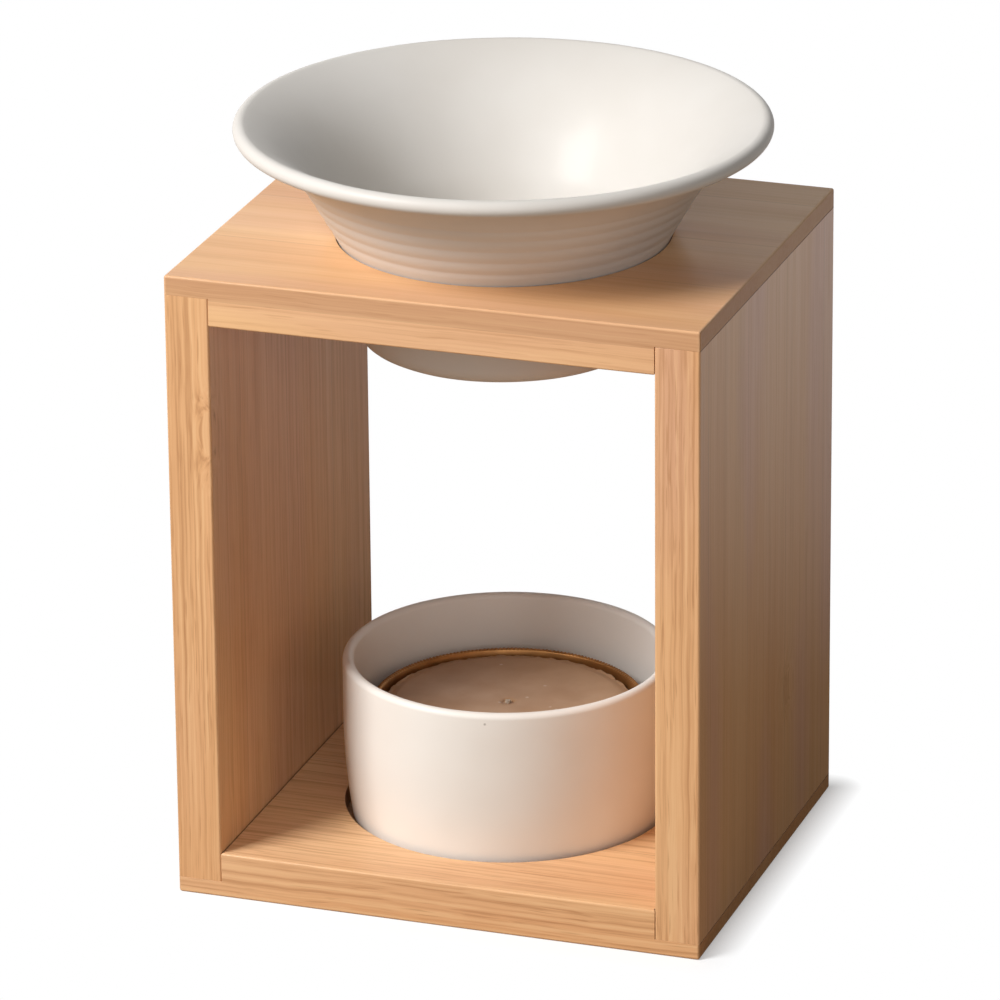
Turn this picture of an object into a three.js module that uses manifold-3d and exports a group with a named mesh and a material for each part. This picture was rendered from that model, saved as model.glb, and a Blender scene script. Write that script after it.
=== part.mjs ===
// Essential oil burner: a bamboo frame of four boards with rebated corners, a glazed oil dish that
// hangs in a round hole of the top board, and a glazed candle cup that stands in a round recess of
// the bottom board and holds a tealight. Millimetres, +Z up, front towards -Y, resting on z = 0.
import * as THREE from 'three';
import { mergeVertices } from 'three/addons/utils/BufferGeometryUtils.js';
import Module from 'manifold-3d';

// Frame
const frameWidth = 80;
const frameDepth = 66;
const frameHeight = 95.8;
const sideThickness = 6.7;
const topThickness = 7.1;
const bottomThickness = 6.9;
const topLip = 2.9;
const bottomLip = 2.4;
const boardEase = 0.6;
const mouthEase = 0.2;

// Oil dish
const holeRadius = 24.6;
const dishRimRadius = 39;
const dishRimHeight = 17.4;
const dishDrop = 16.3;
const dishFootRadius = 21.7;
const dishFootFillet = 3;
const dishWall = 3;
const rimBead = 1.25;
const shoulderRise = 5.2;
const wallLean = 30;
const rimLean = 12;
const flareStart = 0.25;
const flareEnd = 0.42;
const lipLean = 25;
const lipStart = 0.4;
const lipEnd = 0.3;
const bowlTurn = 5;
const bowlEase = 0.5;
const ribCount = 4;
const ribPitch = 3;
const ribDepth = 0.2;
const ribStart = 2.7;

// Candle cup
const cupRadius = 24.5;
const cupBaseRadius = 23.4;
const cupHeight = 26;
const cupWall = 1.8;
const cupFloor = 3;
const cupBaseFillet = 1.6;
const cupStraight = 9;
const recessDepth = 3;

// Tealight
const tealightRimRadius = 20.2;
const tealightRadius = 19.5;
const tealightHeight = 15.2;
const tealightWall = 0.4;
const tealightBead = 0.45;
const tealightBaseFillet = 0.8;
const waxHeadroom = 0.5;
const waxEase = 0.6;
const wickRadius = 0.5;
const wickProud = 0.15;
const sustainerRadius = 6.5;
const sustainerThickness = 0.4;
const collarRadius = 1.4;
const collarHeight = 3;

// Clearances
const seatGap = 0.3;
const recessClearance = 1;
const castGap = 0.3;

// Facets round each turned piece and along its curves
const turns = 60;
const smallTurns = 24;
const wickTurns = 12;
const arcStep = 30;
const boardArcSteps = 3;
const ringSteps = 4;
const flareSteps = 8;
const bowlSteps = 6;
const taperSteps = 4;
const cutOver = 1;
const weld = 1e-4;

const wasm = await Module();
wasm.setup();

// Solid from a closed mesh whose shared corners are merged first.
function toSolid(geometry) {
  const bare = geometry.clone();
  bare.deleteAttribute('normal');
  bare.deleteAttribute('uv');
  const merged = mergeVertices(bare, weld);
  return new wasm.Manifold(new wasm.Mesh({
    numProp: 3,
    vertProperties: Float32Array.from(merged.attributes.position.array),
    triVerts: Uint32Array.from(merged.index.array),
  }));
}

function toGeometry(solid) {
  const mesh = solid.getMesh();
  const geometry = new THREE.BufferGeometry();
  geometry.setAttribute('position', new THREE.BufferAttribute(mesh.vertProperties, 3));
  geometry.setIndex(new THREE.BufferAttribute(mesh.triVerts, 1));
  geometry.computeVertexNormals();
  return geometry;
}

const point = (radius, height) => new THREE.Vector2(radius, height);

// Points along an arc in the profile plane, from one angle to another in degrees.
function arc(centre, bend, from, to) {
  const steps = Math.ceil(Math.abs(to - from) / arcStep);
  const points = [];
  for (let i = 0; i <= steps; i += 1) {
    const angle = THREE.MathUtils.degToRad(from + (to - from) * i / steps);
    points.push(point(centre.x + bend * Math.cos(angle), centre.y + bend * Math.sin(angle)));
  }
  return points;
}

// Body turned about +Z from a profile that is listed upwards along its outer face.
function turned(profile, segments = turns) {
  return new THREE.LatheGeometry(profile, segments).rotateX(Math.PI / 2);
}

// Rectangle whose four corners are rounded by the given radii, from the low corner anticlockwise.
function roundedRectangle(left, low, right, high, radii) {
  const [lowLeft, lowRight, highRight, highLeft] = radii;
  const shape = new THREE.Shape();
  const quarter = Math.PI / 2;
  shape.absarc(left + lowLeft, low + lowLeft, lowLeft, 2 * quarter, 3 * quarter);
  shape.absarc(right - lowRight, low + lowRight, lowRight, 3 * quarter, 4 * quarter);
  shape.absarc(right - highRight, high - highRight, highRight, 0, quarter);
  shape.absarc(left + highLeft, high - highLeft, highLeft, quarter, 2 * quarter);
  return shape;
}

const eased = [boardEase, boardEase, boardEase, boardEase];

function extrude(shape, depth) {
  return new THREE.ExtrudeGeometry(shape, { depth, curveSegments: boardArcSteps, bevelEnabled: false });
}

// Extrusions along each axis, centred on the other two.
const alongX = (shape, length) => extrude(shape, length)
  .rotateX(Math.PI / 2).rotateZ(Math.PI / 2).translate(-length / 2, 0, 0);
const alongY = (shape, length) => extrude(shape, length)
  .rotateX(Math.PI / 2).translate(0, length / 2, 0);
const alongZ = (shape, low, high) => extrude(shape, high - low).translate(0, 0, low);

const burner = new THREE.Group();

function add(name, geometry, color, roughness, metalness = 0) {
  const mesh = new THREE.Mesh(geometry, new THREE.MeshStandardMaterial({ color, roughness, metalness }));
  mesh.name = name;
  burner.add(mesh);
}

const bamboo = (name, geometry) => add(name, geometry, 0xd9a678, 0.5);
const glazed = (name, geometry) => add(name, geometry, 0xebe4dc, 0.12);
const gilt = (name, geometry) => add(name, geometry, 0xb9833f, 0.35, 1);

// Frame: the top and bottom boards run the full width, and each end is rebated to a thin lip that
// covers the end of a side board. The glued faces meet exactly.
const halfWidth = frameWidth / 2;
const halfDepth = frameDepth / 2;
const innerWidth = halfWidth - sideThickness;
const sideLow = bottomLip;
const sideHigh = frameHeight - topLip;
const topLow = frameHeight - topThickness;

// A board with eased edges, and its two rebates cut between the low and high given.
function rebatedBoard(low, high, cutLow, cutHigh, mouth) {
  const front = roundedRectangle(-halfWidth, low, halfWidth, high, eased);
  const end = roundedRectangle(-halfDepth, low, halfDepth, high, eased);
  const plan = roundedRectangle(-halfWidth, -halfDepth, halfWidth, halfDepth, eased);
  let board = toSolid(alongY(front, frameDepth))
    .intersect(toSolid(alongX(end, frameWidth)))
    .intersect(toSolid(alongZ(plan, low, high)));
  const from = cutLow > low ? cutLow : low - cutOver;
  const to = cutHigh < high ? cutHigh : high + cutOver;
  for (const side of [-1, 1]) {
    const length = sideThickness + cutOver;
    const rebate = new THREE.BoxGeometry(length, frameDepth + 2 * cutOver, to - from)
      .translate(side * (innerWidth + length / 2), 0, (from + to) / 2);
    board = board.subtract(toSolid(rebate));
  }
  return toGeometry(board.subtract(toSolid(mouth)));
}

// Round cutter with an eased mouth at its top, and at its foot too where it goes right through.
function mouthCutter(radius, low, high, through) {
  const wide = radius + mouthEase + cutOver;
  const foot = through
    ? [point(0, low - cutOver), point(wide, low - cutOver), point(radius, low + mouthEase)]
    : [point(0, low), point(radius, low)];
  return turned([
    ...foot,
    point(radius, high - mouthEase),
    point(wide, high + cutOver),
    point(0, high + cutOver),
  ]);
}

bamboo('top_board', rebatedBoard(
  topLow,
  frameHeight,
  topLow,
  sideHigh,
  mouthCutter(holeRadius, topLow, frameHeight, true),
));

const recessFloor = bottomThickness - recessDepth;
const recessRadius = cupBaseRadius + recessClearance;
bamboo('bottom_board', rebatedBoard(
  0,
  bottomThickness,
  sideLow,
  bottomThickness,
  mouthCutter(recessRadius, recessFloor, bottomThickness, false),
));

function sideBoard(inner, outer) {
  const plan = roundedRectangle(
    Math.min(inner, outer),
    -halfDepth,
    Math.max(inner, outer),
    halfDepth,
    eased,
  );
  return alongZ(plan, sideLow, sideHigh);
}

bamboo('side_board_left', sideBoard(-innerWidth, -halfWidth));
bamboo('side_board_right', sideBoard(innerWidth, halfWidth));

// Oil dish: a thrown bowl. Its outer face rises from a rounded foot through the hole, leans out
// above the seat on the hole's mouth, and sweeps in a hollow flare to a round rim bead. Throwing
// rings run round it above the board, and the wall thins towards the rim.
const lean = THREE.MathUtils.degToRad(wallLean);
const tilt = THREE.MathUtils.degToRad(rimLean);
const dip = THREE.MathUtils.degToRad(lipLean);

// The point at a distance from another, along a direction given by its two parts.
const step = (from, length, across, up) => point(from.x + length * across, from.y + length * up);

const seat = point(holeRadius - seatGap, frameHeight);
const shoulder = point(seat.x + shoulderRise * Math.tan(lean), seat.y + shoulderRise);
const dishBead = point(dishRimRadius - rimBead, frameHeight + dishRimHeight - rimBead);
const flareTop = step(dishBead, rimBead, Math.sin(tilt), -Math.cos(tilt));
const reach = shoulder.distanceTo(flareTop);
const face = new THREE.CurvePath();
face.add(new THREE.LineCurve(seat, shoulder));
face.add(new THREE.CubicBezierCurve(
  shoulder,
  step(shoulder, flareStart * reach, Math.sin(lean), Math.cos(lean)),
  step(flareTop, -flareEnd * reach, Math.cos(tilt), Math.sin(tilt)),
  flareTop,
));
const faceLength = face.getLength();

// Outer face from the seat to the rim: round ridges that meet in narrow grooves, then smooth.
function dishFace() {
  const points = [];
  for (let ring = 0; ring < ribCount; ring += 1) {
    for (let i = 0; i < ringSteps; i += 1) {
      const along = ribStart + (ring + i / ringSteps) * ribPitch;
      const spot = face.getPoint(along / faceLength);
      const sink = ribDepth * (1 - Math.sin(Math.PI * i / ringSteps));
      points.push(point(spot.x - sink, spot.y));
    }
  }
  const smooth = (ribStart + ribCount * ribPitch) / faceLength;
  for (let i = 0; i <= flareSteps; i += 1) {
    points.push(face.getPoint(smooth + (1 - smooth) * i / flareSteps));
  }
  return points;
}

// Inner face: from the rim it dips inwards, follows the wall to the level of the seat, and rounds
// into the floor.
function dishInside(floor) {
  const lip = step(dishBead, rimBead, -Math.sin(dip), Math.cos(dip));
  const inner = step(seat, dishWall, -Math.cos(lean), Math.sin(lean));
  const run = lip.distanceTo(inner);
  const wall = new THREE.CubicBezierCurve(
    lip,
    step(lip, -lipStart * run, Math.cos(dip), Math.sin(dip)),
    step(inner, lipEnd * run, Math.sin(lean), Math.cos(lean)),
    inner,
  );
  const bowl = new THREE.CubicBezierCurve(
    inner,
    step(inner, -bowlTurn, Math.sin(lean), Math.cos(lean)),
    floor,
    point(floor.x * bowlEase, floor.y),
  );
  return [...wall.getPoints(flareSteps), ...bowl.getPoints(bowlSteps).slice(1)];
}

function dishProfile() {
  const footHeight = frameHeight - dishDrop;
  const floor = point(dishFootRadius - dishWall, footHeight + dishWall);
  const foot = point(dishFootRadius - dishFootFillet, footHeight + dishFootFillet);
  return [
    point(0, footHeight),
    ...arc(foot, dishFootFillet, -90, 0),
    seat,
    ...dishFace(),
    ...arc(dishBead, rimBead, rimLean - 90 + arcStep, 90 + lipLean).slice(0, -1),
    ...dishInside(floor),
    point(0, floor.y),
  ];
}

glazed('oil_dish', turned(dishProfile()));

// Candle cup: straight at its mouth, slightly narrower towards its base, with a fully round rim.
const cupBase = recessFloor + seatGap;
const cupTop = cupBase + cupHeight;
const cupInside = cupBase + cupFloor;

// Cup wall from its foot up to its straight mouth, at a distance inside the outer face.
function cupTaper(inset, low) {
  const from = point(cupBaseRadius - inset, low);
  const to = point(cupRadius - inset, cupTop - cupStraight);
  const bulge = point(to.x, (from.y + to.y) / 2);
  return new THREE.QuadraticBezierCurve(from, bulge, to).getPoints(taperSteps);
}

function cupProfile() {
  const bead = cupWall / 2;
  const foot = point(cupBaseRadius - cupBaseFillet, cupBase + cupBaseFillet);
  const well = point(foot.x - cupWall, cupInside + cupBaseFillet);
  return [
    point(0, cupBase),
    ...arc(foot, cupBaseFillet, -90, 0),
    ...cupTaper(0, foot.y).slice(1),
    ...arc(point(cupRadius - bead, cupTop - bead), bead, 0, 180),
    ...cupTaper(cupWall, well.y).slice(1).reverse(),
    ...arc(well, cupBaseFillet, 0, -90),
    point(0, cupInside),
  ];
}

glazed('candle_cup', turned(cupProfile()));

// Tealight: a thin metal cup with a rolled rim, filled with wax round a wick that stands in a
// small crimped sustainer on the floor of the cup.
const tealightBase = cupInside + seatGap;
const tealightTop = tealightBase + tealightHeight;
const tealightInner = tealightRadius - tealightWall;
const tealightFloor = tealightBase + tealightWall;

function tealightProfile() {
  const bead = point(tealightRimRadius - tealightBead, tealightTop - tealightBead);
  const outerFillet = point(tealightRadius - tealightBaseFillet, tealightBase + tealightBaseFillet);
  return [
    point(0, tealightBase),
    ...arc(outerFillet, tealightBaseFillet, -90, 0),
    point(tealightRadius, bead.y - tealightBead),
    ...arc(bead, tealightBead, arcStep - 90, 180),
    point(tealightInner, bead.y - tealightBead),
    ...arc(outerFillet, tealightBaseFillet - tealightWall, 0, -90),
    point(0, tealightFloor),
  ];
}

gilt('tealight_cup', turned(tealightProfile()));

const candleFloor = tealightFloor + castGap;
const waxTop = tealightTop - waxHeadroom;

function waxProfile() {
  const bore = wickRadius + castGap;
  const radius = tealightInner - castGap;
  const collar = collarRadius + castGap;
  const pocket = sustainerRadius + castGap;
  const pocketTop = candleFloor + sustainerThickness + castGap;
  const collarTop = candleFloor + collarHeight + castGap;
  return [
    point(pocket, candleFloor),
    point(radius - waxEase, candleFloor),
    point(radius, candleFloor + waxEase),
    point(radius, waxTop),
    point(bore, waxTop),
    point(bore, collarTop),
    point(collar, collarTop),
    point(collar, pocketTop),
    point(pocket, pocketTop),
    point(pocket, candleFloor),
  ];
}

add('tealight_wax', turned(waxProfile()), 0xa58a70, 0.55);

function sustainerProfile() {
  const collarInner = wickRadius + castGap;
  const discTop = candleFloor + sustainerThickness;
  return [
    point(0, candleFloor),
    point(sustainerRadius, candleFloor),
    point(sustainerRadius, discTop),
    point(collarRadius, discTop),
    point(collarRadius, candleFloor + collarHeight),
    point(collarInner, candleFloor + collarHeight),
    point(collarInner, discTop),
    point(0, discTop),
  ];
}

gilt('wick_sustainer', turned(sustainerProfile(), smallTurns));

const wickBase = candleFloor + sustainerThickness + castGap;
const wickTop = waxTop + wickProud;
const wickProfile = [
  point(0, wickBase),
  point(wickRadius, wickBase),
  point(wickRadius, wickTop),
  point(0, wickTop),
];
add('wick', turned(wickProfile, wickTurns), 0xe6dcc8, 0.9);

export default burner;
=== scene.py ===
from math import atan2, cos, degrees, hypot, pi, radians, sin, tan

import bmesh
import bpy
from mathutils import Euler, Matrix, Vector
from mathutils.geometry import interpolate_bezier


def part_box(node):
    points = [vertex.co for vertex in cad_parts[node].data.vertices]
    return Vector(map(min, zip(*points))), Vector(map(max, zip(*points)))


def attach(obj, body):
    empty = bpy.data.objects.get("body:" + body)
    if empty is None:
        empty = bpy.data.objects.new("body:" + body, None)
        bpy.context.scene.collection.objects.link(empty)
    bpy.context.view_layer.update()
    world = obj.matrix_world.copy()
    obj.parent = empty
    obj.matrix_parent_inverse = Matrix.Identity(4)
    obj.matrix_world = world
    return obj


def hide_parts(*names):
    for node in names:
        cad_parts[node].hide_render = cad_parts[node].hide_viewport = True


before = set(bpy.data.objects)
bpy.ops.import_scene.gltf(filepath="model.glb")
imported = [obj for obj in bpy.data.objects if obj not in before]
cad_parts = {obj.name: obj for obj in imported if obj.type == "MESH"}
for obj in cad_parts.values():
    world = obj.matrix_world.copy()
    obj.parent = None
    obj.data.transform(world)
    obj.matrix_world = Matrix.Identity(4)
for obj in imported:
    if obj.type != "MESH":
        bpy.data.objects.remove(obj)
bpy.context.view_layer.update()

bpy.context.scene.view_settings.view_transform = "Standard"
mm = 0.001


# Camera
# A long lens a little over a metre away, from the front right and above, rolled by half a degree
# as the photograph is.

view_azimuth = 19.025
view_elevation = 21.07
view_roll = -0.514
view_distance = 1068.8 * mm
view_target = Vector((-1.0, 0, 54.0)) * mm
lens_for_frame = 262.4

turn = Euler((radians(90 - view_elevation), 0, radians(view_azimuth))).to_matrix()
turn = turn @ Matrix.Rotation(radians(view_roll), 3, "Z")
bpy.ops.object.camera_add(
    location=view_target + turn.col[2] * view_distance,
    rotation=turn.to_euler(),
)
camera = bpy.context.object
camera.data.lens = lens_for_frame
camera.data.sensor_width = 36
camera.data.clip_start = 0.01
bpy.context.scene.camera = camera


# Top board
# Laminated bamboo, about 7 mm thick, with the grain running left to right. Its ends are rebated to
# thin lips that lie over the side boards, and a round hole with a softened mouth carries the dish.

free_ease = 0.35 * mm
joint_ease = 0.23 * mm
flush_ease = 0.06 * mm
hair = 0.01 * mm
strip_width = 19 * mm
strip_stagger = 0.37 * strip_width
seam_width = 0.16 * mm


def take(piece):
    """Makes one piece the only one that is selected, and the active one."""
    bpy.ops.object.select_all(action="DESELECT")
    piece.select_set(True)
    bpy.context.view_layer.objects.active = piece


def pick(kind, wanted):
    """In edit mode, selects the vertices, edges or faces that the test wants."""
    bpy.ops.mesh.select_mode(type=kind)
    bpy.ops.mesh.select_all(action="DESELECT")
    form = bmesh.from_edit_mesh(bpy.context.object.data)
    parts = {"VERT": form.verts, "EDGE": form.edges, "FACE": form.faces}[kind]
    for part in parts:
        part.select_set(wanted(part))
    bmesh.update_edit_mesh(bpy.context.object.data)


def middle(part):
    """The middle of an edge or a face."""
    return sum((corner.co for corner in part.verts), Vector()) / len(part.verts)


def saw(name, low, high):
    """Saws a plain blank between two corners."""
    bpy.ops.object.select_all(action="DESELECT")
    bpy.ops.mesh.primitive_cube_add(size=1, location=(low + high) / 2)
    blank = bpy.context.object
    blank.name = name
    blank.scale = high - low
    bpy.ops.object.transform_apply(location=True, rotation=True, scale=True)
    return blank


def leave_lips(board, lip_low, lip_high, lip_length):
    """Draws a thin lip out of both ends of a board, between two heights."""
    take(board)
    bpy.ops.object.mode_set(mode="EDIT")
    for height in (lip_low, lip_high):
        bpy.ops.mesh.select_all(action="SELECT")
        bpy.ops.mesh.bisect(plane_co=(0, 0, height), plane_no=(0, 0, 1))
    for side in (-1, 1):
        pick("FACE", lambda face: face.normal.x * side > 0.9
             and lip_low < middle(face).z < lip_high)
        bpy.ops.mesh.extrude_region_move(
            TRANSFORM_OT_translate={"value": (side * lip_length, 0, 0)},
        )
    bpy.ops.object.mode_set(mode="OBJECT")


def ease_edges(board, at_joint):
    """Sands the board's outer edges round, and only just breaks those that meet a glued board. The
    joints were planed flush on the outside, where hardly a line is left."""
    take(board)
    form = bmesh.new()
    form.from_mesh(board.data)
    form.edges.ensure_lookup_table()
    share = []
    for edge in form.edges:
        place = middle(edge)
        ease = free_ease
        if at_joint(place):
            planed = (abs(place.y) > top_high.y - free_ease
                      or abs(place.x) > right_high.x - free_ease)
            ease = flush_ease if planed else joint_ease
        share.append(ease / free_ease if edge.calc_face_angle_signed(0) > 0.5 else 0)
    form.free()
    weights = board.data.attributes.new("bevel_weight_edge", "FLOAT", "EDGE")
    weights.data.foreach_set("value", share)
    bpy.ops.object.modifier_add(type="BEVEL")
    rounding = board.modifiers[-1]
    rounding.limit_method = "WEIGHT"
    rounding.width = free_ease
    rounding.segments = 4
    # The rounded faces take the rubbed finish, which is painted paler, partly as a highlight.
    rounding.material = 1
    bpy.ops.object.modifier_apply(modifier=rounding.name)
    for face in board.data.polygons:
        if face.material_index == 1 and at_joint(face.center):
            face.material_index = 0 if abs(face.center.y) > top_high.y - free_ease else 2


def drill(board, radius, low, high, ease):
    """Drills a round hole or a recess into the board, and rounds its mouth."""
    bpy.ops.object.select_all(action="DESELECT")
    bpy.ops.mesh.primitive_cylinder_add(
        vertices=144,
        radius=radius,
        depth=high - low,
        location=(0, 0, (low + high) / 2),
    )
    bit = bpy.context.object
    bpy.ops.object.transform_apply(location=True, rotation=True, scale=True)
    take(board)
    bpy.ops.object.modifier_add(type="BOOLEAN")
    cut = board.modifiers[-1]
    cut.object = bit
    cut.solver = "EXACT"
    bpy.ops.object.modifier_apply(modifier=cut.name)
    bpy.data.objects.remove(bit)
    faces_at = {round(corner.co.z, 6) for corner in board.data.vertices}
    mouths = [height for height in (min(faces_at), max(faces_at)) if low < height < high]
    bpy.ops.object.mode_set(mode="EDIT")
    pick("EDGE", lambda edge: all(
        abs(hypot(corner.co.x, corner.co.y) - radius) < hair
        and any(abs(corner.co.z - height) < hair for height in mouths)
        for corner in edge.verts
    ))
    bpy.ops.mesh.bevel(offset=ease, segments=3)
    bpy.ops.object.mode_set(mode="OBJECT")


def plane_flat(board):
    """Keeps the flat faces flat in the shading, and the rounded edges soft."""
    take(board)
    bpy.ops.object.shade_smooth_by_angle(angle=radians(40))
    bpy.ops.object.modifier_add(type="WEIGHTED_NORMAL")
    board.modifiers[-1].keep_sharp = True
    bpy.ops.object.modifier_apply(modifier=board.modifiers[-1].name)


def feed(tree, node, inputs):
    """Sets a node's inputs to values, or links them to outputs."""
    for name, value in inputs.items():
        if isinstance(value, bpy.types.NodeSocket):
            tree.links.new(value, node.inputs[name])
        else:
            node.inputs[name].default_value = value


def add(tree, kind, inputs, **settings):
    """Adds a node with its settings and its inputs."""
    node = tree.nodes.new(kind)
    for name, value in settings.items():
        setattr(node, name, value)
    feed(tree, node, inputs)
    return node


def new_finish(name):
    """A new material, its node tree, its shader and the places on the piece."""
    made = bpy.data.materials.new(name)
    made.use_nodes = True
    tree = made.node_tree
    source = add(tree, "ShaderNodeTexCoord", {}).outputs
    return made, tree, tree.nodes["Principled BSDF"], source


def reckon(tree, operation, first, second=0.0):
    """A Math node's output."""
    return add(tree, "ShaderNodeMath", {0: first, 1: second}, operation=operation).outputs[0]


def steer(tree, operation, first, second=(0, 0, 0)):
    """A Vector Math node's output. Where it scales, the second input is a number."""
    slot = "Scale" if operation == "SCALE" else 1
    made = add(tree, "ShaderNodeVectorMath", {0: first, slot: second}, operation=operation)
    return made.outputs[0]


def blend_colour(tree, share, first, second):
    """A colour Mix node's output."""
    made = add(tree, "ShaderNodeMix", {0: share, 6: first, 7: second}, data_type="RGBA")
    return made.outputs[2]


def span(tree, value, low, high, to_low=0.0, to_high=1.0):
    """A value taken from one span to another and held there."""
    return add(tree, "ShaderNodeMapRange", {
        "Value": value,
        "From Min": low,
        "From Max": high,
        "To Min": to_low,
        "To Max": to_high,
    }).outputs[0]


def noise(tree, place, scale, detail, output="Fac"):
    """Cloudy noise, with about so many clouds to the metre."""
    inputs = {"Vector": place, "Scale": scale, "Detail": detail}
    return add(tree, "ShaderNodeTexNoise", inputs).outputs[output]


def streaks(tree, grain, along, across, detail=2.0):
    """Noise drawn out along the grain, with about so many streaks to the metre each way."""
    stretched = add(tree, "ShaderNodeMapping", {"Vector": grain, "Scale": (along, across, across)})
    return add(tree, "ShaderNodeTexNoise", {
        "Vector": stretched.outputs[0],
        "Scale": 1.0,
        "Detail": detail,
        "Roughness": 0.55,
    }).outputs["Fac"]


def relief(tree, strength, depth, height):
    """A Bump node's output."""
    inputs = {"Strength": strength, "Distance": depth, "Height": height}
    return add(tree, "ShaderNodeBump", inputs).outputs[0]


bamboo_pale = (0.825, 0.530, 0.282, 1)
bamboo_warm = (0.700, 0.380, 0.180, 1)
bamboo_pink = (0.690, 0.390, 0.250, 1)
bamboo_fibre = (0.430, 0.205, 0.085, 1)
bamboo_glue = (0.110, 0.045, 0.018, 1)
strip_contrast = 0.38
dark_fibres = 0.46
light_fibres = 0.45
dark_pores = 0.40
seam_stain = 0.24
end_stain = 0.68
# How much paler the rubbed edges are: real wear, and a painted highlight.
rubbed_and_highlit = 0.16
glued = 0.92


def flow_round(tree, place, knot):
    """Bends the grain round a knot. Gives the bent place, and how near the knot it is."""
    away = steer(tree, "SUBTRACT", place, knot["centre"])
    shrunk = steer(tree, "DIVIDE", away, knot["reach"])
    near = add(tree, "ShaderNodeTexGradient", {"Vector": shrunk}, gradient_type="QUADRATIC_SPHERE")
    near = near.outputs["Fac"]
    pull = reckon(tree, "MULTIPLY", near, -knot["bulge"])
    return steer(tree, "ADD", place, steer(tree, "SCALE", away, pull)), near


def bamboo(name, finish, upright, shift, ply, ripe, clear, banded, lacquer, pink, knot=None):
    """Laminated bamboo. The grain runs left to right, or upwards in an upright board. Ripe cane is
    browner. Its fibres show as clearly as given on the wide faces and on the sawn edges, and dark
    bands and pink patches show as much as given."""
    made, tree, shader, source = new_finish(name)
    place, near, stain = source["Object"], 0.0, 0.0
    if knot:
        place, near = flow_round(tree, place, knot)
        stain = knot["stain"]
    grain = add(tree, "ShaderNodeMapping", {
        "Vector": place,
        "Location": shift,
        "Rotation": (0, pi / 2 if upright else 0, 0),
    }).outputs[0]

    # The strips that the board is glued from, each with its own tone.
    parts = add(tree, "ShaderNodeSeparateXYZ", {0: grain}).outputs
    layer = reckon(tree, "FLOOR", reckon(tree, "DIVIDE", parts["Z"], ply))
    slid = reckon(tree, "MULTIPLY", layer, strip_stagger)
    across = reckon(tree, "DIVIDE", reckon(tree, "ADD", parts["Y"], slid), strip_width)
    number = reckon(tree, "FLOOR", across)
    which = add(tree, "ShaderNodeCombineXYZ", {0: number, 1: layer, 2: 0.5}).outputs[0]
    tone = add(tree, "ShaderNodeTexWhiteNoise", {"Vector": which}).outputs["Value"]
    nearest = reckon(tree, "SUBTRACT", reckon(tree, "FRACT", across), 0.5)
    seam = span(tree, reckon(tree, "ABSOLUTE", nearest), 0.5 - seam_width / strip_width, 0.5)

    # The fibres wander a little, and more round a knot.
    sway = noise(tree, grain, 70.0, 2.0, "Color")
    swing = span(tree, near, 0.0, 0.5, 0.8 * mm, 4.0 * mm)
    swaying = steer(tree, "MULTIPLY", steer(tree, "SCALE", sway, swing), (0, 1, 1))
    wander = steer(tree, "ADD", grain, swaying)
    cloud = streaks(tree, wander, 8.0, 70.0)
    blush = streaks(tree, grain, 11.0, 55.0, 1.0)
    bands = streaks(tree, wander, 9.0, 330.0)
    fibres = streaks(tree, wander, 15.0, 1900.0, 3.0)
    pores = streaks(tree, wander, 110.0, 2800.0, 1.0)

    # From the broad tones down to the single fibres and the glue between the strips.
    outward = steer(tree, "ABSOLUTE", source["Normal"])
    facing = add(tree, "ShaderNodeSeparateXYZ", {0: outward}).outputs
    clear = span(tree, facing["Y"], 0.5, 0.9, *clear)
    base = blend_colour(tree, span(tree, cloud, 0.38, 0.64), bamboo_pale, bamboo_warm)
    base = blend_colour(tree, reckon(tree, "MULTIPLY", tone, strip_contrast), base, bamboo_warm)
    base = blend_colour(tree, ripe, base, bamboo_warm)
    base = blend_colour(tree, span(tree, blush, 0.48, 0.62, 0.0, pink), base, bamboo_pink)
    base = blend_colour(tree, span(tree, bands, 0.47, 0.68, 0.0, banded), base, bamboo_fibre)
    stained = span(tree, near, 0.0, 0.5, 0.0, stain)
    deep = reckon(tree, "MAXIMUM", reckon(tree, "MULTIPLY", clear, dark_fibres), stained)
    dark = reckon(tree, "MULTIPLY", span(tree, fibres, 0.50, 0.66), deep)
    base = blend_colour(tree, dark, base, bamboo_fibre)
    light = reckon(tree, "MULTIPLY", span(tree, fibres, 0.48, 0.34, 0.0, light_fibres), clear)
    base = blend_colour(tree, light, base, bamboo_pale)
    dots = reckon(tree, "MULTIPLY", span(tree, pores, 0.62, 0.72, 0.0, dark_pores), clear)
    base = blend_colour(tree, dots, base, bamboo_fibre)
    base = blend_colour(tree, reckon(tree, "MULTIPLY", seam, seam_stain), base, bamboo_glue)

    # The ends of the fibres are darker, and soak up the lacquer.
    cut_end = span(tree, facing["Z" if upright else "X"], 0.55, 0.85)
    base = blend_colour(tree, reckon(tree, "MULTIPLY", cut_end, end_stain), base, bamboo_fibre)

    # Eased edges are rubbed paler and carry a painted highlight; glue has soaked into the joint
    # edges.
    edge_tint, edge_tint_colour = {
        "planed": (0.0, bamboo_pale),
        "worn_and_highlit": (rubbed_and_highlit, bamboo_pale),
        "joint": (glued, bamboo_glue),
    }[finish]
    sunk = reckon(tree, "ADD", fibres, reckon(tree, "MULTIPLY", seam, -0.6))
    feed(tree, shader, {
        "Base Color": blend_colour(tree, edge_tint, base, edge_tint_colour),
        "Roughness": span(tree, fibres, 0.3, 0.7, 0.38, 0.52),
        "Normal": relief(tree, 0.25, 0.08 * mm, sunk),
        "Specular IOR Level": 0.1,
        "Coat Roughness": 0.20,
    })
    if finish != "joint":
        soaked = span(tree, cut_end, 0.0, 1.0, lacquer, 0.2 * lacquer)
        feed(tree, shader, {"Coat Weight": soaked})
    return made


def finish_board(board, node, **cane):
    """Lacquered bamboo for a board: rubbed edges painted paler as a highlight, and dark glue
    lines.
    """
    board.data.materials.clear()
    for finish in ("planed", "worn_and_highlit", "joint"):
        board.data.materials.append(bamboo(f"bamboo_{node}_{finish}", finish, **cane))


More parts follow.
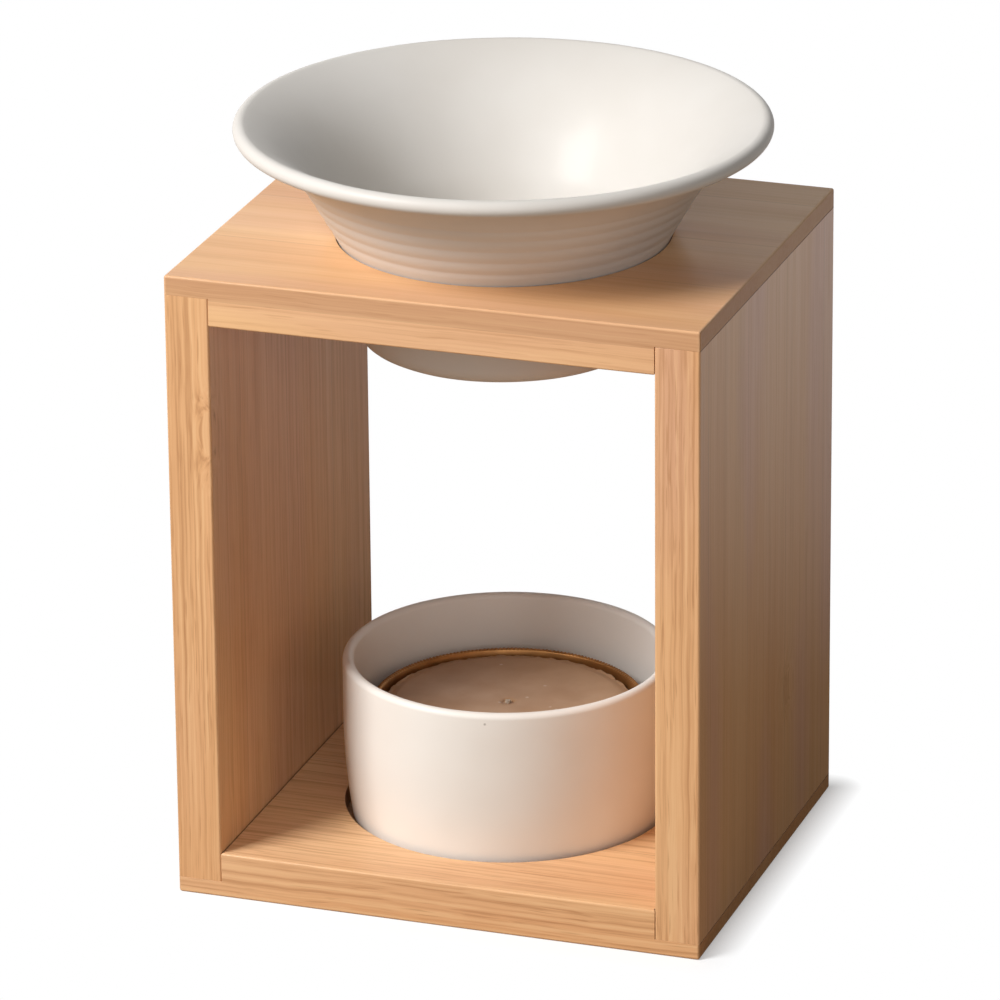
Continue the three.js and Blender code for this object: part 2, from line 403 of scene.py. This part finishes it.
left_low, left_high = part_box("side_board_left")
right_low, right_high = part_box("side_board_right")
top_low, top_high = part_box("top_board")
lip = left_high.x - left_low.x
hole_radius = 24.45 * mm
hole_ease = 0.08 * mm
overrun = 1 * mm

top = saw(
    "top_board_bamboo",
    Vector((left_high.x, top_low.y, top_low.z)),
    Vector((right_low.x, top_high.y, top_high.z)),
)
finish_board(
    top, "top", upright=False, shift=(0.013, 0.1972, 0.004), ply=3.45 * mm, ripe=0.0,
    clear=(0.2, 0.6), banded=0.12, lacquer=0.25, pink=0.40,
)
leave_lips(top, left_high.z, top_high.z, lip)
ease_edges(top, lambda at: abs(at.z - left_high.z) < joint_ease
           or (abs(at.x) > right_low.x - joint_ease and at.z < left_high.z))
drill(top, hole_radius, top_low.z - overrun, top_high.z + overrun, hole_ease)
plane_flat(top)
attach(top, "frame")
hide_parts("top_board")


# Bottom board
# The same bamboo. Its lips lie under the side boards, and a shallow round recess keeps the candle
# cup in the middle. It has no feet and stands on its own planed underside.

bottom_low, bottom_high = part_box("bottom_board")
recess_radius = 24.4 * mm
recess_depth = 3 * mm
recess_floor = bottom_high.z - recess_depth

bottom = saw(
    "bottom_board_bamboo",
    Vector((left_high.x, bottom_low.y, bottom_low.z)),
    Vector((right_low.x, bottom_high.y, bottom_high.z)),
)
finish_board(
    bottom, "bottom", upright=False, shift=(0.205, 0.0312, 0.0052), ply=3.45 * mm, ripe=0.0,
    clear=(1.0, 1.15), banded=0.12, lacquer=0.25, pink=0.20,
)
leave_lips(bottom, bottom_low.z, left_low.z, lip)
ease_edges(bottom, lambda at: abs(at.z - left_low.z) < joint_ease
           or (abs(at.x) > right_low.x - joint_ease and at.z > left_low.z))
drill(bottom, recess_radius, recess_floor, bottom_high.z + overrun, hole_ease)
plane_flat(bottom)
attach(bottom, "frame")
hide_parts("bottom_board")


# Side boards
# Upright bamboo boards, glued between the lips of the other two, with their grain running up. The
# grain of the left one bends round a knot at its inner front edge, a quarter of the way down, and
# that of the right one round a faint knot low on its outer face.

left_knot = {
    "centre": (-33.6 * mm, -33 * mm, 72.5 * mm),
    "reach": (4.6 * mm, 6 * mm, 11 * mm),
    "bulge": 0.75,
    "stain": 0.8,
}
right_knot = {
    "centre": (40 * mm, 10 * mm, 25.5 * mm),
    "reach": (6 * mm, 8 * mm, 7.5 * mm),
    "bulge": 0.6,
    "stain": 0.45,
}

left = saw("side_board_left_bamboo", left_low, left_high)
finish_board(
    left, "left", upright=True, shift=(0.031, 0.0057, 0.0117), ply=3.35 * mm, ripe=0.67,
    clear=(0.65, 1.2), banded=0.14, lacquer=0.26, pink=0.40, knot=left_knot,
)
right = saw("side_board_right_bamboo", right_low, right_high)
finish_board(
    right, "right", upright=True, shift=(0.083, 0.0141, 0.0209), ply=3.35 * mm, ripe=0.6,
    clear=(0.30, 1.2), banded=0.14, lacquer=0.36, pink=1.0, knot=right_knot,
)
for board, node in ((left, "side_board_left"), (right, "side_board_right")):
    low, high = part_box(node)
    ease_edges(board, lambda at: min(abs(at.z - low.z), abs(at.z - high.z)) < joint_ease)
    plane_flat(board)
    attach(board, "frame")
    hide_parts(node)


# Oil dish
# Thrown stoneware under a warm white gloss glaze. The wall goes down through the hole, leans out
# above it with shallow throwing rings, and flares in a hollow sweep to a full round rim.

dish_low, dish_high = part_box("oil_dish")
seat_radius = 24.3 * mm
wall_lean = radians(30)
shoulder_rise = 5.2 * mm
rim_roll = 1.25 * mm
rim_lean = radians(12)
lip_dip = radians(25)
station_step = 0.24 * mm
rings = 6
ring_pitch = 2.4 * mm
ring_depth = 0.16 * mm
ring_start = -0.1 * mm
foot_radius = 21.7 * mm
foot_round = 3 * mm
foot_flat = 12 * mm
bowl_sweep = 5 * mm
dish_wall = 3 * mm
dish_middle = 3 * mm


def arc(centre, bend, start, end, steps=8):
    """Stations along an arc, from one angle to another in degrees."""
    angles = [radians(start + (end - start) * i / steps) for i in range(steps + 1)]
    return [centre + bend * Vector((cos(a), sin(a))) for a in angles]


def curve(first, toward, before, last, steps):
    """Stations along a smooth curve between two points, with a handle at each."""
    flat = [Vector((p.x, p.y, 0)) for p in (first, toward, before, last)]
    return [p.xy for p in interpolate_bezier(*flat, steps + 1)]


def even(stations, spacing):
    """The same line with its stations an even distance apart."""
    spaced = [stations[0]]
    carried = 0.0
    for back, ahead in zip(stations, stations[1:]):
        length = (ahead - back).length
        while carried + length >= spacing and length > 0:
            back = back.lerp(ahead, (spacing - carried) / length)
            spaced.append(back.copy())
            length = (ahead - back).length
            carried = 0.0
        carried += length
    if carried > 0.25 * spacing:
        spaced.append(stations[-1])
    return spaced


def throw(name, stations, around=144):
    """Turns a form on the wheel: a ring of clay is drawn through each station, and both of its
    ends are closed."""
    bpy.ops.object.select_all(action="DESELECT")
    bpy.ops.mesh.primitive_circle_add(
        vertices=around,
        radius=stations[0].x,
        fill_type="NOTHING",
        location=(0, 0, stations[0].y),
    )
    form = bpy.context.object
    form.name = name
    bpy.ops.object.transform_apply(location=True, rotation=True, scale=True)
    bpy.ops.object.mode_set(mode="EDIT")
    bpy.ops.mesh.select_mode(type="EDGE")
    bpy.ops.mesh.select_all(action="SELECT")
    for back, ahead in zip(stations, stations[1:]):
        bpy.ops.mesh.extrude_region_move(
            TRANSFORM_OT_translate={"value": (0, 0, ahead.y - back.y)},
        )
        widen = ahead.x / back.x
        bpy.ops.transform.resize(value=(widen, widen, 1), center_override=(0, 0, ahead.y))
    bpy.ops.mesh.edge_face_add()
    pick("EDGE", lambda edge: edge.is_boundary)
    bpy.ops.mesh.edge_face_add()
    bpy.ops.mesh.select_all(action="SELECT")
    bpy.ops.mesh.normals_make_consistent(inside=False)
    bpy.ops.object.mode_set(mode="OBJECT")
    bpy.ops.object.shade_smooth_by_angle(angle=radians(50))
    return form


def hand_thrown(form, depth, size, group=""):
    """Sinks the surface unevenly by up to a depth, as fingers leave it."""
    take(form)
    unevenness = bpy.data.textures.new(form.name + "_unevenness", "CLOUDS")
    unevenness.noise_scale = size
    bpy.ops.object.modifier_add(type="DISPLACE")
    sink = form.modifiers[-1]
    sink.texture = unevenness
    sink.texture_coords = "LOCAL"
    sink.strength = depth
    sink.mid_level = 1.0
    sink.vertex_group = group
    bpy.ops.object.modifier_apply(modifier=sink.name)


def glaze(name, body, warm, specks):
    """Warm white gloss glaze, with a soft change of tone, a few iron specks and a live surface."""
    made, tree, shader, source = new_finish(name)
    place = source["Object"]
    base = blend_colour(tree, span(tree, noise(tree, place, 45.0, 3.0), 0.35, 0.7), body, warm)
    cells = add(tree, "ShaderNodeTexVoronoi", {"Vector": place, "Scale": 650.0}).outputs
    chance = add(tree, "ShaderNodeSeparateColor", {0: cells["Color"]}).outputs[0]
    speck = reckon(tree, "MULTIPLY", span(tree, cells["Distance"], 0.16, 0.06),
                   reckon(tree, "LESS_THAN", chance, specks))
    iron = (0.10, 0.065, 0.04, 1)
    live = noise(tree, place, 260.0, 2.0)
    feed(tree, shader, {
        "Base Color": blend_colour(tree, reckon(tree, "MULTIPLY", speck, 0.5), base, iron),
        "Roughness": span(tree, live, 0.3, 0.7, 0.46, 0.54),
        "Normal": relief(tree, 0.05, 0.1 * mm, live),
        "Specular IOR Level": 0.19,
        "Coat Weight": 0.09,
        "Coat Roughness": 0.20,
    })
    return made


# The outer face: a straight lean from the seat, and a hollow flare to the underside of the rim.
seat = Vector((seat_radius, top_high.z))
shoulder = seat + shoulder_rise * Vector((tan(wall_lean), 1))
rim = Vector((dish_high.x - rim_roll, dish_high.z - rim_roll))
under_rim = rim + rim_roll * Vector((sin(rim_lean), -cos(rim_lean)))
flare_length = (under_rim - shoulder).length
face = [seat, *curve(
    shoulder,
    shoulder + 0.25 * flare_length * Vector((sin(wall_lean), cos(wall_lean))),
    under_rim - 0.42 * flare_length * Vector((cos(rim_lean), sin(rim_lean))),
    under_rim,
    60,
)]

# Each throwing ring swells between two narrow grooves, and the last groove dies away.
outside = []
for number, station in enumerate(even(face, station_step)):
    across_ring = (number * station_step - ring_start) / ring_pitch
    groove = (1 - abs(sin(pi * across_ring))) * min(max(rings - across_ring, 0), 1)
    groove *= across_ring > 0.5
    outside.append(Vector((station.x - ring_depth * groove, station.y)))

# The inner face dips from the rim, follows the wall down and rounds into a flat floor.
dish_lip = rim + rim_roll * Vector((-sin(lip_dip), cos(lip_dip)))
inner_seat = seat + dish_wall * Vector((-cos(wall_lean), sin(wall_lean)))
inner_length = (dish_lip - inner_seat).length
inside = curve(
    dish_lip,
    dish_lip - 0.4 * inner_length * Vector((cos(lip_dip), sin(lip_dip))),
    inner_seat + 0.3 * inner_length * Vector((sin(wall_lean), cos(wall_lean))),
    inner_seat,
    44,
)
floor_height = dish_low.z + dish_wall
well = Vector((foot_radius - dish_wall, floor_height))
bowl = curve(
    inner_seat,
    inner_seat - bowl_sweep * Vector((sin(wall_lean), cos(wall_lean))),
    well,
    Vector((well.x * 0.5, floor_height)),
    16,
)
foot = Vector((foot_radius - foot_round, dish_low.z + foot_round))
dish = throw("oil_dish_glazed", [
    Vector((dish_middle, dish_low.z)),
    Vector((foot_flat, dish_low.z)),
    *arc(foot, foot_round, -90, 0),
    *[Vector((foot_radius, foot.y)).lerp(outside[0], i / 6) for i in range(1, 6)],
    *outside,
    *arc(rim, rim_roll, degrees(rim_lean) - 90, 90 + degrees(lip_dip), 20)[1:],
    *inside[1:],
    *bowl[1:],
    Vector((dish_middle, floor_height)),
])
hand_thrown(dish, depth=0.10 * mm, size=14 * mm)
# The dish's copy of the glaze is painted darker than the cup's, as painted shade over the whole
# dish.
dish.data.materials.append(glaze(
    "dish_glaze",
    body=(0.68, 0.648, 0.607, 1),
    warm=(0.645, 0.608, 0.562, 1),
    specks=0.0004,
))
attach(dish, "dish")
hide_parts("oil_dish")


# Candle cup
# Cast stoneware under the same glaze: straight at its mouth, a little narrower at its foot, with a
# round rim. It stands in the recess and can be lifted out.

cup_low, cup_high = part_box("candle_cup")
cup_radius = 24.5 * mm
cup_foot_radius = 23.4 * mm
cup_wall = 1.8 * mm
cup_round = 1.6 * mm
cup_flat = 16 * mm
cup_straight = 9 * mm
cup_mouth = cup_high.z - 4 * mm
cup_floor = cup_low.z + 3 * mm
cup_middle = 4 * mm


def cup_side(inset, low):
    """Stations from the foot of the cup's wall up to its straight mouth."""
    start = Vector((cup_foot_radius - inset, low))
    end = Vector((cup_radius - inset, cup_high.z - cup_straight))
    bulge = Vector((end.x, (start.y + end.y) / 2))
    return curve(start, start.lerp(bulge, 2 / 3), end.lerp(bulge, 2 / 3), end, 12)


roll = cup_wall / 2
cup_foot = Vector((cup_foot_radius - cup_round, cup_low.z + cup_round))
cup_well = Vector((cup_foot.x - cup_wall, cup_floor + cup_round))
cup = throw("candle_cup_glazed", [
    Vector((cup_middle, cup_low.z)),
    Vector((cup_flat, cup_low.z)),
    *arc(cup_foot, cup_round, -90, 0),
    *cup_side(0, cup_foot.y)[1:],
    Vector((cup_radius, cup_mouth)),
    *arc(Vector((cup_radius - roll, cup_high.z - roll)), roll, 0, 180, 16),
    Vector((cup_radius - cup_wall, cup_mouth)),
    *reversed(cup_side(cup_wall, cup_well.y)),
    *arc(cup_well, cup_round, 0, -90)[1:],
    Vector((cup_middle, cup_floor)),
])
hand_thrown(cup, depth=0.10 * mm, size=18 * mm)
cup.data.materials.append(glaze(
    "cup_glaze",
    body=(0.82, 0.785, 0.735, 1),
    warm=(0.78, 0.730, 0.670, 1),
    specks=0.004,
))
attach(cup, "cup")
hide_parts("candle_cup")


# Tealight cup
# Thin aluminium, drawn deep, lacquered gold, with its edge rolled outwards. The roll is finely
# crimped by the tool that closes it.

foil_low, foil_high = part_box("tealight_cup")
foil_radius = 19.5 * mm
foil_wall = 0.4 * mm
foil_roll = 0.45 * mm
foil_round = 0.8 * mm
foil_middle = 4 * mm
roll_centre = Vector((foil_high.x - foil_roll, foil_high.z - foil_roll))
foil_corner = Vector((foil_radius - foil_round, foil_low.z + foil_round))
crimps = 210
crimp_depth = 0.11 * mm

# In millimetres: up the outside from the floor, and down the inside from the roll.
outer_rings = (3, 5.8, 8.6, 11.4)
inner_rings = (0.6, 2.8, 5, 7.2, 9.4, 11.6)


def gold_foil(name):
    """Gold lacquer over drawn aluminium, with fine wrinkles from the drawing."""
    made, tree, shader, source = new_finish(name)
    fine = noise(tree, source["Object"], 1500.0, 2.0)
    broad = span(tree, noise(tree, source["Object"], 160.0, 2.0), 0.35, 0.65)
    feed(tree, shader, {
        "Base Color": blend_colour(tree, broad, (0.40, 0.185, 0.057, 1), (0.28, 0.125, 0.035, 1)),
        "Roughness": span(tree, fine, 0.3, 0.7, 0.30, 0.42),
        "Normal": relief(tree, 0.15, 0.06 * mm, fine),
        "Metallic": 0.7,
    })
    return made


def pinched(corner):
    """Every second place round the rolled edge."""
    turned = round(atan2(corner.co.y, corner.co.x) / (pi / crimps))
    return corner.co.z > roll_centre.y - foil_roll and turned % 2 == 0


foil = throw("tealight_cup_gold", [
    Vector((foil_middle, foil_low.z)),
    *arc(foil_corner, foil_round, -90, 0, 5),
    *[Vector((foil_radius, foil_low.z + rise * mm)) for rise in outer_rings],
    Vector((foil_radius, roll_centre.y - foil_roll)),
    *arc(roll_centre, foil_roll, -60, 180, 16),
    *[Vector((foil_radius - foil_wall, roll_centre.y - drop * mm)) for drop in inner_rings],
    *arc(foil_corner, foil_round - foil_wall, 0, -90, 5),
    Vector((foil_middle, foil_low.z + foil_wall)),
], around=2 * crimps)
bpy.ops.object.mode_set(mode="EDIT")
pick("VERT", lambda corner: pinched(corner) and hypot(corner.co.x, corner.co.y) > roll_centre.x)
squeeze = 1 - crimp_depth / foil_high.x
bpy.ops.transform.resize(value=(squeeze, squeeze, 1), center_override=(0, 0, 0))
pick("VERT", lambda corner: pinched(corner) and corner.co.z > roll_centre.y + hair)
bpy.ops.transform.translate(value=(0, 0, -crimp_depth))
bpy.ops.object.mode_set(mode="OBJECT")
bpy.ops.object.shade_smooth_by_angle(angle=radians(22))
foil.data.materials.append(gold_foil("tealight_gold"))
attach(foil, "tealight")
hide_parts("tealight_cup")


# Wax
# Poured scented wax. It has shrunk a little from the foil, so its edge is ragged, and small
# flecks lie in its surface.

wax_low, wax_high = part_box("tealight_wax")
wax_radius = wax_high.x
wax_round = 0.4 * mm
ragged_from = 17.3 * mm
ragged_depth = 1 * mm

# In millimetres: radius and height over the sustainer, heights up the side, radii of the surface,
# and radius and depth beside the wick.
sustainer_pocket = ((0.8, 4), (8, 3.2), (17, 3))
side_rings = (3.6, 5.8, 8, 10.2)
surface_radii = (18.1, 17.7, 17.2, 16.5, 15.5, 14, 12, 10, 8, 6, 4, 2.5, 1.5)
wick_dimple = ((1.0, 0.05), (0.8, 0.3))


def poured_wax(name):
    """Soft brown-grey wax with pale flecks and a dull bloom."""
    made, tree, shader, source = new_finish(name)
    place = source["Object"]
    cloud = noise(tree, place, 130.0, 4.0)
    tones = (0.455, 0.268, 0.145, 1), (0.39, 0.222, 0.116, 1)
    base = blend_colour(tree, span(tree, cloud, 0.35, 0.65), *tones)
    cells = add(tree, "ShaderNodeTexVoronoi", {"Vector": place, "Scale": 900.0}).outputs
    chance = add(tree, "ShaderNodeSeparateColor", {0: cells["Color"]}).outputs[0]
    fleck = reckon(tree, "MULTIPLY", span(tree, cells["Distance"], 0.30, 0.15),
                   reckon(tree, "GREATER_THAN", chance, 0.975))
    pale_fleck = (0.62, 0.50, 0.40, 1)
    feed(tree, shader, {
        "Base Color": blend_colour(tree, reckon(tree, "MULTIPLY", fleck, 0.6), base, pale_fleck),
        "Roughness": span(tree, cloud, 0.3, 0.7, 0.38, 0.55),
        "Normal": relief(tree, 0.35, 0.15 * mm, cloud),
    })
    return made


wax = throw("tealight_wax_poured", [
    *[Vector((radius * mm, wax_low.z + rise * mm)) for radius, rise in sustainer_pocket],
    *[Vector((wax_radius, wax_low.z + rise * mm)) for rise in side_rings],
    *arc(Vector((wax_radius - wax_round, wax_high.z - wax_round)), wax_round, 0, 90, 6),
    *[Vector((radius * mm, wax_high.z)) for radius in surface_radii],
    *[Vector((radius * mm, wax_high.z - drop * mm)) for radius, drop in wick_dimple],
], around=240)
edge = wax.vertex_groups.new(name="ragged_edge")
edge.add([
    corner.index for corner in wax.data.vertices
    if corner.co.z > wax_high.z - ragged_depth and hypot(corner.co.x, corner.co.y) > ragged_from
], 1.0, "REPLACE")
hand_thrown(wax, depth=0.60 * mm, size=1.1 * mm, group=edge.name)
wax.data.materials.append(poured_wax("wax"))
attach(wax, "tealight")
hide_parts("tealight_wax")


# Wick
# Three twisted strands of waxed cotton, held upright by the sustainer and trimmed almost level
# with the wax.

wick_low, wick_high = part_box("wick")
wick_radius = 0.42 * mm
waist = 0.72
twists = 26
twist = radians(14)


def between_strands(corner):
    """In one of the three hollows of the wick's outline."""
    angle = round(degrees(atan2(corner.co.y, corner.co.x))) % 120
    return angle < 20 or angle > 100


def cotton(name):
    """Waxed cotton, with a fine change of tone."""
    made, tree, shader, source = new_finish(name)
    fluff = noise(tree, source["Object"], 5000.0, 2.0)
    tones = (0.56, 0.47, 0.37, 1), (0.42, 0.34, 0.26, 1)
    feed(tree, shader, {
        "Base Color": blend_colour(tree, span(tree, fluff, 0.3, 0.7), *tones),
        "Roughness": 0.8,
        "Normal": relief(tree, 0.4, 0.05 * mm, fluff),
    })
    return made


bpy.ops.object.select_all(action="DESELECT")
bpy.ops.mesh.primitive_circle_add(
    vertices=36,
    radius=wick_radius,
    fill_type="NGON",
    location=(0, 0, wick_low.z),
)
wick = bpy.context.object
wick.name = "wick_cotton"
bpy.ops.object.transform_apply(location=True, rotation=True, scale=True)
bpy.ops.object.mode_set(mode="EDIT")
pick("VERT", between_strands)
bpy.ops.transform.resize(value=(waist, waist, 1), center_override=(0, 0, 0))
bpy.ops.mesh.select_mode(type="FACE")
bpy.ops.mesh.select_all(action="SELECT")
for step in range(twists):
    bpy.ops.mesh.extrude_region_move(
        TRANSFORM_OT_translate={"value": (0, 0, (wick_high.z - wick_low.z) / twists)},
    )
    bpy.ops.transform.rotate(value=twist, orient_axis="Z", center_override=(0, 0, 0))
bpy.ops.mesh.select_all(action="SELECT")
bpy.ops.mesh.normals_make_consistent(inside=False)
bpy.ops.object.mode_set(mode="OBJECT")
bpy.ops.object.shade_smooth_by_angle(angle=radians(60))
wick.data.materials.append(cotton("wick_cotton"))
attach(wick, "tealight")
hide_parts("wick")


# Wick sustainer
# A small disc of tinned steel with a crimped collar, which holds the wick upright inside the wax.
# It keeps its CAD shape.


def tinned_steel(name):
    """Dull tin with fine scratches."""
    made, tree, shader, source = new_finish(name)
    scratch = streaks(tree, source["Object"], 300.0, 4000.0)
    tones = (0.62, 0.61, 0.58, 1), (0.48, 0.47, 0.45, 1)
    feed(tree, shader, {
        "Base Color": blend_colour(tree, span(tree, scratch, 0.3, 0.7), *tones),
        "Roughness": span(tree, scratch, 0.3, 0.7, 0.28, 0.45),
        "Metallic": 1.0,
    })
    return made


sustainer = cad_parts["wick_sustainer"]
sustainer.data.materials.clear()
sustainer.data.materials.append(tinned_steel("sustainer_tin"))


# Studio
# A pale floor, a soft box at the front left and above, a weak one at the front right, and a dim
# room. The floor shows white to the camera, except in the shadow by the object, and throws a
# little of the wood's colour back up at it.

floor_white = (1.0, 1.0, 1.0, 1)
floor_warm = (0.34, 0.24, 0.16, 1)
floor_radius = 3.0
shadow_fade = (-2.5 * mm, 5 * mm)
mirror_fade = (40 * mm, 250 * mm)
aim = Vector((0, 0, 50 * mm))


def soft_box(name, place, size, power):
    """A square soft light that faces the object."""
    direction = (aim - Vector(place)).to_track_quat("-Z", "Y").to_euler()
    bpy.ops.object.light_add(type="AREA", location=place, rotation=direction)
    light = bpy.context.object
    light.name = name
    light.data.shape = "SQUARE"
    light.data.size = size
    light.data.energy = power


bpy.ops.object.select_all(action="DESELECT")
bpy.ops.mesh.primitive_circle_add(
    vertices=96,
    radius=floor_radius,
    fill_type="NGON",
    location=(0, 0, 0),
)
ground = bpy.context.object
ground.name = "studio_floor"

pale, tree, shader, source = new_finish("studio_floor")
path = add(tree, "ShaderNodeLightPath", {}).outputs
seen = path["Is Camera Ray"]
mirrored = reckon(tree, "MAXIMUM", path["Is Glossy Ray"], path["Is Transmission Ray"])
footprint = Vector((right_high.x, right_high.y, 0))
beyond = steer(tree, "SUBTRACT", steer(tree, "ABSOLUTE", source["Object"]), footprint)
beyond = steer(tree, "MAXIMUM", beyond)
beyond = add(tree, "ShaderNodeVectorMath", {0: beyond}, operation="LENGTH").outputs["Value"]
feed(tree, shader, {
    "Base Color": blend_colour(tree, seen, floor_warm, floor_white),
    "Roughness": 0.9,
    "Specular IOR Level": 0.0,
})
glow = add(tree, "ShaderNodeEmission", {"Color": floor_white, "Strength": 1.0})
open_floor = reckon(tree, "MULTIPLY", seen, span(tree, beyond, *shadow_fade))
open_mirrored = reckon(tree, "MULTIPLY", mirrored, span(tree, beyond, *mirror_fade))
open_floor = reckon(tree, "ADD", open_floor, open_mirrored)
lit = add(tree, "ShaderNodeMixShader", {0: open_floor, 1: shader.outputs[0], 2: glow.outputs[0]})
feed(tree, tree.nodes["Material Output"], {"Surface": lit.outputs[0]})
ground.data.materials.append(pale)

soft_box("key_soft_box", place=(-0.524, -0.553, 0.696), size=0.36, power=11.6)
soft_box("fill_soft_box", place=(0.56, -1.38, 0.52), size=0.9, power=4.8)

room = bpy.data.worlds.new("studio_room")
bpy.context.scene.world = room
room.use_nodes = True
tree = room.node_tree
path = add(tree, "ShaderNodeLightPath", {}).outputs
shown = reckon(tree, "MAXIMUM", path["Is Camera Ray"], path["Is Glossy Ray"])
shown = reckon(tree, "MAXIMUM", shown, path["Is Transmission Ray"])
feed(tree, tree.nodes["Background"], {
    "Color": floor_white,
    "Strength": span(tree, shown, 0.0, 1.0, 0.15, 1.0),
})
